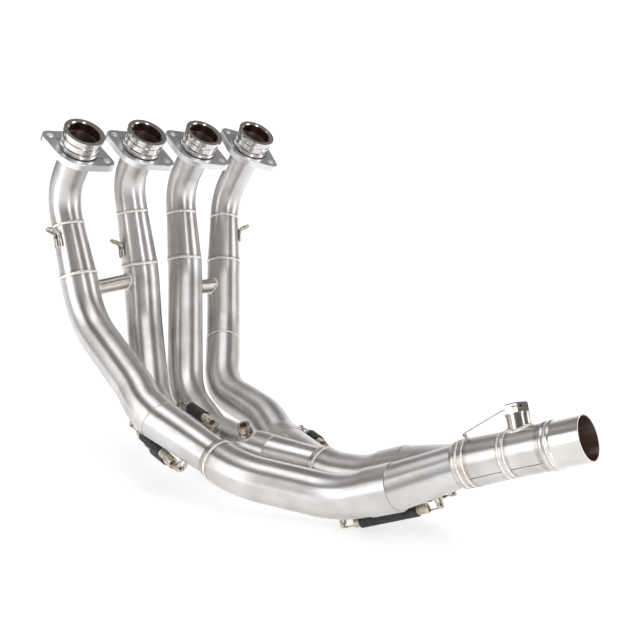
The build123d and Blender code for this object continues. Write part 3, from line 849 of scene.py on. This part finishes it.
def point_object(name, points):
    mesh = bpy.data.meshes.new(name)
    mesh.from_pydata([tuple(p) for p in points], [], [])
    made = bpy.data.objects.new(name, mesh)
    scene.collection.objects.link(made)
    return made


def line_object(name, points):
    curve = bpy.data.curves.new(name, "CURVE")
    curve.dimensions = "3D"
    spline = curve.splines.new("POLY")
    spline.points.add(len(points) - 1)
    for place, point in zip(spline.points, points):
        place.co = (*point, 1.0)
    made = bpy.data.objects.new(name, curve)
    scene.collection.objects.link(made)
    return made


def piece_of(name, meshes, material, stands_for=()):
    """One piece from several meshes, on the header and with its material in its mesh's slot."""
    made = bpy.data.objects.new(name, meshes[0])
    scene.collection.objects.link(made)
    others = []
    for mesh in meshes[1:]:
        other = bpy.data.objects.new(name + "_more", mesh)
        scene.collection.objects.link(other)
        others.append(other)
    if others:
        with bpy.context.temp_override(active_object=made, selected_editable_objects=[made] + others):
            bpy.ops.object.join()
    made.data.materials.clear()
    made.data.materials.append(material)
    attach(made, "root")
    if stands_for:
        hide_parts(*stands_for)
    return made


def bead(name, path, outs, closed=True, spacing=1.1, width=1.5, height=0.5, slot="tube_steel", metal=None):
    """A weld bead on a path, resampled to even ripples. The sizes are in millimetres."""
    if closed:
        path = path + path[:1]
        outs = outs + outs[:1]
    lengths = [0.0]
    for a, b in zip(path, path[1:]):
        lengths.append(lengths[-1] + (b - a).length)
    count = max(3, round(lengths[-1] / (spacing * MM)))
    places, runs, ways = [], [], []
    at = 0
    for k in range(count):
        want = lengths[-1] * k / (count if closed else count - 1)
        while at < len(path) - 2 and lengths[at + 1] < want:
            at += 1
        share = (want - lengths[at]) / max(1e-9, lengths[at + 1] - lengths[at])
        places.append(path[at].lerp(path[at + 1], share))
        runs.append((path[at + 1] - path[at]).normalized())
        ways.append(outs[at].lerp(outs[at + 1], share).normalized())
    source = point_object(name + "_points", places)
    for key, values in (("run", runs), ("out", ways)):
        attribute = source.data.attributes.new(key, "FLOAT_VECTOR", "POINT")
        for k, value in enumerate(values):
            attribute.data[k].vector = value
    mesh = run_tree(
        weld_beads,
        source,
        {
            "Ripple length": spacing * 1.25 * MM,
            "Bead width": width * MM,
            "Bead height": height * MM,
            "Material": metal or bead_finish,
        },
    )
    return piece_of(name, [mesh], metal or bead_finish)


def ring_path(centre, axis, radius, count=72):
    """Points round a circle and the way out at each."""
    side = axis.orthogonal().normalized()
    up = axis.cross(side)
    outs = [side * cos(2 * pi * k / count) + up * sin(2 * pi * k / count) for k in range(count)]
    return [centre + out * radius for out in outs], outs


def ring_bead(name, centre, axis, radius, **sizes):
    path, outs = ring_path(centre, axis, radius)
    return bead(name, path, outs, **sizes)


surfaces = {}


def surface_of(name):
    """Search tree of a CAD node's faces."""
    if name not in surfaces:
        mesh = nodes[name].data
        mesh.calc_loop_triangles()
        corners = [v.co.copy() for v in mesh.vertices]
        surfaces[name] = BVHTree.FromPolygons(corners, [tuple(t.vertices) for t in mesh.loop_triangles])
    return surfaces[name]


def saddle_bead(name, host, foot, axis, radius, start, **sizes):
    """A bead where a round boss or tube meets its host: lines along its wall are run down to the host."""
    search = surface_of(host)
    path, outs = [], []
    ring, ways = ring_path(foot + axis * start, axis, radius, 48)
    for place, way in zip(ring, ways):
        hit, normal = search.ray_cast(place, -axis, start * 1.5)[:2]
        if hit is not None:
            if normal.dot(axis) < 0:
                normal = -normal
            path.append(hit)
            outs.append((normal + way).normalized())
    return bead(name, path, outs, **sizes)


# Weld rings where the tubes are joined
for i in PIPES:
    ring_bead(f"weld_bend_{i + 1}", BEND_ENDS[i], CONE_DIRS[i], BEND_R, width=2.0, height=0.8)
    ring_bead(f"weld_cone_{i + 1}", CONE_ENDS[i], CONE_DIRS[i], PRIMARY_R, width=2.0, height=0.8)
ring_bead("weld_primary_4", PIPE_4_JOINT, PIPE_4_DIR, PRIMARY_R, width=1.6, height=0.5)
for side, exit_centre, exit_axis in (("left", LEFT_EXIT, LEFT_AXIS), ("right", RIGHT_EXIT, RIGHT_AXIS)):
    ring_bead(
        f"weld_{side}_pair",
        exit_centre,
        exit_axis,
        SECONDARY_R,
        width=2.0,
        height=0.7,
        slot="formed_steel",
    )
for name, station, radius, width, height, slot in (
    ("weld_outlet_a", 127, FINAL_R, 1.5, 0.5, "formed_steel"),
    ("weld_outlet_b", 120.4, FINAL_R, 1.3, 0.4, "tube_steel"),
    ("weld_neck_a", 82.2, OUTLET_R, 1.5, 0.5, "tube_steel"),
    ("weld_neck_b", 76.6, OUTLET_R, 1.3, 0.4, "tube_steel"),
    ("weld_sleeve", 33.4, OUTLET_R, 1.2, 0.4, "tube_steel"),
):
    ring_bead(name, outlet_at(station), OUTLET_AXIS, radius, width=width, height=height, slot=slot)

# Weld saddles round the bosses and the balance tubes
for name, host, foot, axis, radius, start, width, height in (
    ("weld_sensor_boss", "outlet_tube", SENSOR_FOOT, SENSOR_DIR, 12.5, 34, 2.8, 1.7),
    ("weld_test_boss", "lower_pipe_3", TEST_FOOT, TEST_DIR, 9.2, 28, 2.0, 1.2),
):
    saddle_bead(name, host, foot, axis, radius * MM, start * MM, width=width, height=height)
for (a, b), (first, second) in ((BALANCE_12, (1, 2)), (BALANCE_34, (3, 4))):
    way = (b - a).normalized()
    for number, foot, out in ((first, a, way), (second, b, -way)):
        saddle_bead(
            f"weld_balance_{number}",
            f"lower_pipe_{number}",
            foot,
            out,
            BALANCE_R,
            40 * MM,
            width=2.0,
            height=1.1,
        )

# Longitudinal seams of the rolled outlet parts, dressed almost flush
seam_roll = radians(118)
seam_out = OUTLET_RISE * cos(seam_roll) - OUTLET_LEVEL * sin(seam_roll)
for name, first, last, r_first, r_last in (
    ("seam_outlet_cone", 118, 84, FINAL_R, OUTLET_R),
    ("seam_outlet_tube", 74, 42, OUTLET_R, OUTLET_R),
):
    ends = [outlet_at(first) + seam_out * r_first, outlet_at(last) + seam_out * r_last]
    bead(
        name,
        ends,
        [seam_out, seam_out],
        closed=False,
        spacing=0.8,
        width=0.55,
        height=0.22,
        metal=seam_finish,
    )

# Springs wound from wire, with a hook at both ends that takes its lug's crossbar
HOOK_RUN, HOOK_R, COIL_R, WIRE_R, TAIL = 13 * MM, 2.9 * MM, 4.5 * MM, 0.95 * MM, 1.5 * MM
COIL_PITCH, HOOK_BEND, HOOK_RISE = 2.02 * MM, 2.7 * MM, 2.5 * MM
for k, (bar_a, bar_b, out_a, out_b) in enumerate(SPRINGS):
    pull = (bar_b - bar_a).normalized()
    length = (bar_b - bar_a).length - 2 * HOOK_RUN
    coil = run_tree(
        wound_coil,
        point_object("coil_points", [(0, 0, 0)]),
        {
            "Length": length,
            "Turns": length / COIL_PITCH,
            "Coil radius": COIL_R,
            "Wire radius": WIRE_R,
            "Material": spring_finish,
        },
    )
    side = pull.orthogonal().normalized()
    turn = Matrix((side, pull.cross(side), pull)).transposed().to_4x4()
    coil.transform(Matrix.Translation(bar_a + pull * HOOK_RUN) @ turn)
    meshes = [coil]
    for bar, way, out in ((bar_a, pull, out_a), (bar_b, -pull, out_b)):
        lift = Vector(out)
        lift = (lift - way * lift.dot(way)).normalized()
        points = [
            bar + way * (HOOK_RUN + WIRE_R) + lift * COIL_R,
            bar + way * (HOOK_RUN - HOOK_RISE) + lift * HOOK_R,
            bar - way * HOOK_R + lift * HOOK_R,
            bar - way * HOOK_R - lift * HOOK_R,
            bar + way * TAIL - lift * HOOK_R,
        ]
        meshes.append(
            run_tree(
                bent_wire,
                line_object("hook_line", points),
                {"Bend radius": HOOK_BEND, "Wire radius": WIRE_R, "Material": spring_finish},
            )
        )
    piece_of(f"wound_spring_{k + 1}", meshes, spring_finish, [f"spring_{k + 1}"])

# Lock wire, two strands twisted together
WIRE_LAY, STRAND_R = 4.5 * MM, 0.38 * MM
strands = run_tree(
    twisted_wire,
    line_object("lock_wire_line", LOCK_WIRE),
    {"Lay": WIRE_LAY, "Strand radius": STRAND_R, "Material": lock_finish},
)
piece_of("twisted_lock_wire", [strands], lock_finish, ["lock_wire"])

# Small welds at the feet of the lugs and the rod hooks
LUG_HALF_GAP, LUG_WELD_R, HOOK_WELD_SIDE = 5 * MM, 2.3 * MM, 1.9 * MM
FOOT_WELD = {"spacing": 1.0, "width": 1.1, "slot": "rod_steel"}
for k, feet in enumerate(LUG_FEET):
    pull = (SPRINGS[k][1] - SPRINGS[k][0]).normalized()
    for foot, letter, out in zip(feet, "ab", SPRINGS[k][2:]):
        out = Vector(out).normalized()
        cross = pull.cross(out).normalized()
        for sign, mark in ((-1, 1), (1, 2)):
            leg = foot + cross * (LUG_HALF_GAP * sign)
            ring_bead(f"weld_lug_{k + 1}_{letter}{mark}", leg, out, LUG_WELD_R, height=0.8, **FOOT_WELD)
for number, (low, other, out, up) in zip((1, 2, 4), HOOK_FEET):
    for foot, mark in ((low, "a"), (other, "b")):
        for side, sign in (("l", -1), ("r", 1)):
            edge = foot + (other - low).normalized() * (HOOK_WELD_SIDE * sign)
            ends = [edge - up * (1 * MM), edge + up * (9 * MM)]
            bead(f"weld_hook_{number}_{mark}{side}", ends, [out, out], closed=False, height=0.9, **FOOT_WELD)


# Floor, backdrop, lamps and camera
def plane(name, corners, material):
    mesh = bpy.data.meshes.new(name)
    mesh.from_pydata(corners, [], [(0, 1, 2, 3)])
    made = bpy.data.objects.new(name, mesh)
    mesh.materials.append(material)
    scene.collection.objects.link(made)
    return made


# The paper glows less near the header, where it keeps the shadow
SHADOW_CENTRE, SHADOW_REACH, GLOW_REACH = mm(300, 100, -420), 0.35, 0.9


def studio_white(name, glow, far_glow, shade):
    """White paper, near white to the camera, metal and glass, and whiter away from the header."""
    material, tree = new_material(name)
    rays = node(tree, "ShaderNodeLightPath").outputs
    place = node(tree, "ShaderNodeTexCoord").outputs["Object"]
    away = node(
        tree,
        "ShaderNodeVectorMath",
        {0: place, 1: SHADOW_CENTRE},
        operation="DISTANCE",
    ).outputs["Value"]
    glow = node(
        tree,
        "ShaderNodeMapRange",
        {"Value": away, "From Min": SHADOW_REACH, "From Max": GLOW_REACH, "To Min": glow, "To Max": far_glow},
        interpolation_type="SMOOTHSTEP",
    ).outputs[0]
    seen = node(
        tree,
        "ShaderNodeMath",
        {0: rays["Is Camera Ray"], 1: rays["Is Glossy Ray"]},
        operation="MAXIMUM",
    ).outputs[0]
    seen = node(
        tree,
        "ShaderNodeMath",
        {0: seen, 1: rays["Is Transmission Ray"]},
        operation="MAXIMUM",
    ).outputs[0]
    power = node(tree, "ShaderNodeMath", {0: seen, 1: glow}, operation="MULTIPLY").outputs[0]
    light = node(tree, "ShaderNodeEmission", {"Color": linear("FFFFFF"), "Strength": power}).outputs[0]
    paper = node(tree, "ShaderNodeBsdfDiffuse", {"Color": (shade, shade, shade, 1)}).outputs[0]
    both = node(tree, "ShaderNodeAddShader", {0: light, 1: paper}).outputs[0]
    node(tree, "ShaderNodeOutputMaterial", {"Surface": both})
    return material


FLOOR_GAP = 0.5 * MM
floor_z = cad_box[0][2] - FLOOR_GAP
paper = studio_white("white_paper_floor", 0.58, 0.88, 0.8)
plane("floor", [(-6, -6, floor_z), (7, -6, floor_z), (7, 7, floor_z), (-6, 7, floor_z)], paper)
AZ, PITCH = radians(47.78), radians(10.19)
RIGHT = Vector((cos(AZ), sin(AZ), 0))
LEVEL = Vector((-sin(AZ), cos(AZ), 0))
FORWARD = LEVEL * cos(PITCH) - Vector((0, 0, 1)) * sin(PITCH)
OVER = LEVEL * sin(PITCH) + Vector((0, 0, 1)) * cos(PITCH)
middle = mm(260, 110, -200)
WALL_BEHIND, WALL_HALF, WALL_HEIGHT = 2.2, 1.5, Vector((0, 0, 1.3))
back = middle + LEVEL * WALL_BEHIND
back.z = floor_z
wall = studio_white("white_paper_backdrop", 0.95, 0.95, 0.5)
feet = [back - RIGHT * WALL_HALF, back + RIGHT * WALL_HALF]
corners = feet + [foot + WALL_HEIGHT for foot in reversed(feet)]
plane("backdrop", [tuple(c) for c in corners], wall)

world = bpy.data.worlds.new("studio")
scene.world = world
world.use_nodes = True
world.node_tree.nodes.clear()
dim = node(world.node_tree, "ShaderNodeBackground", {"Color": linear("7E7C7B"), "Strength": 1.0}).outputs[0]
node(world.node_tree, "ShaderNodeOutputWorld", {"Surface": dim})


def softbox(name, azimuth, height, distance, width, tall, watts):
    """A rectangular lamp aimed at the header; azimuth 0 is at the camera, positive to its right."""
    turn = radians(azimuth)
    away = (RIGHT * sin(turn) - LEVEL * cos(turn)) * distance
    lamp = bpy.data.lights.new(name, "AREA")
    lamp.shape = "RECTANGLE"
    lamp.size = width
    lamp.size_y = tall
    lamp.energy = watts
    made = bpy.data.objects.new(name, lamp)
    scene.collection.objects.link(made)
    made.location = middle + away + Vector((0, 0, height))
    made.rotation_euler = (middle - made.location).to_track_quat("-Z", "Y").to_euler()


for name, azimuth, height, distance, width, tall, watts in (
    ("softbox_left", -62, 0.5, 2.2, 1.1, 2.2, 25),
    ("softbox_right", 38, 0.5, 2.4, 0.5, 2.2, 13),
    ("softbox_far_right", 100, 0.6, 2.4, 1.0, 2.0, 15),
    ("softbox_top", 0, 2.4, 0.3, 1.8, 1.4, 20),
):
    softbox(name, azimuth, height, distance, width, tall, watts)

# Camera, fitted to the photograph's frame
CAMERA_PLACE = mm(1096.27, -612.93, -9.79)
camera = bpy.data.cameras.new("camera")
camera.sensor_width = 36
camera.lens = 56.25
view = bpy.data.objects.new("camera", camera)
scene.collection.objects.link(view)
turn = Matrix((RIGHT, OVER, -FORWARD)).transposed().to_4x4()
view.matrix_world = Matrix.Translation(CAMERA_PLACE) @ turn
scene.camera = view
scene.view_settings.view_transform = "Standard"
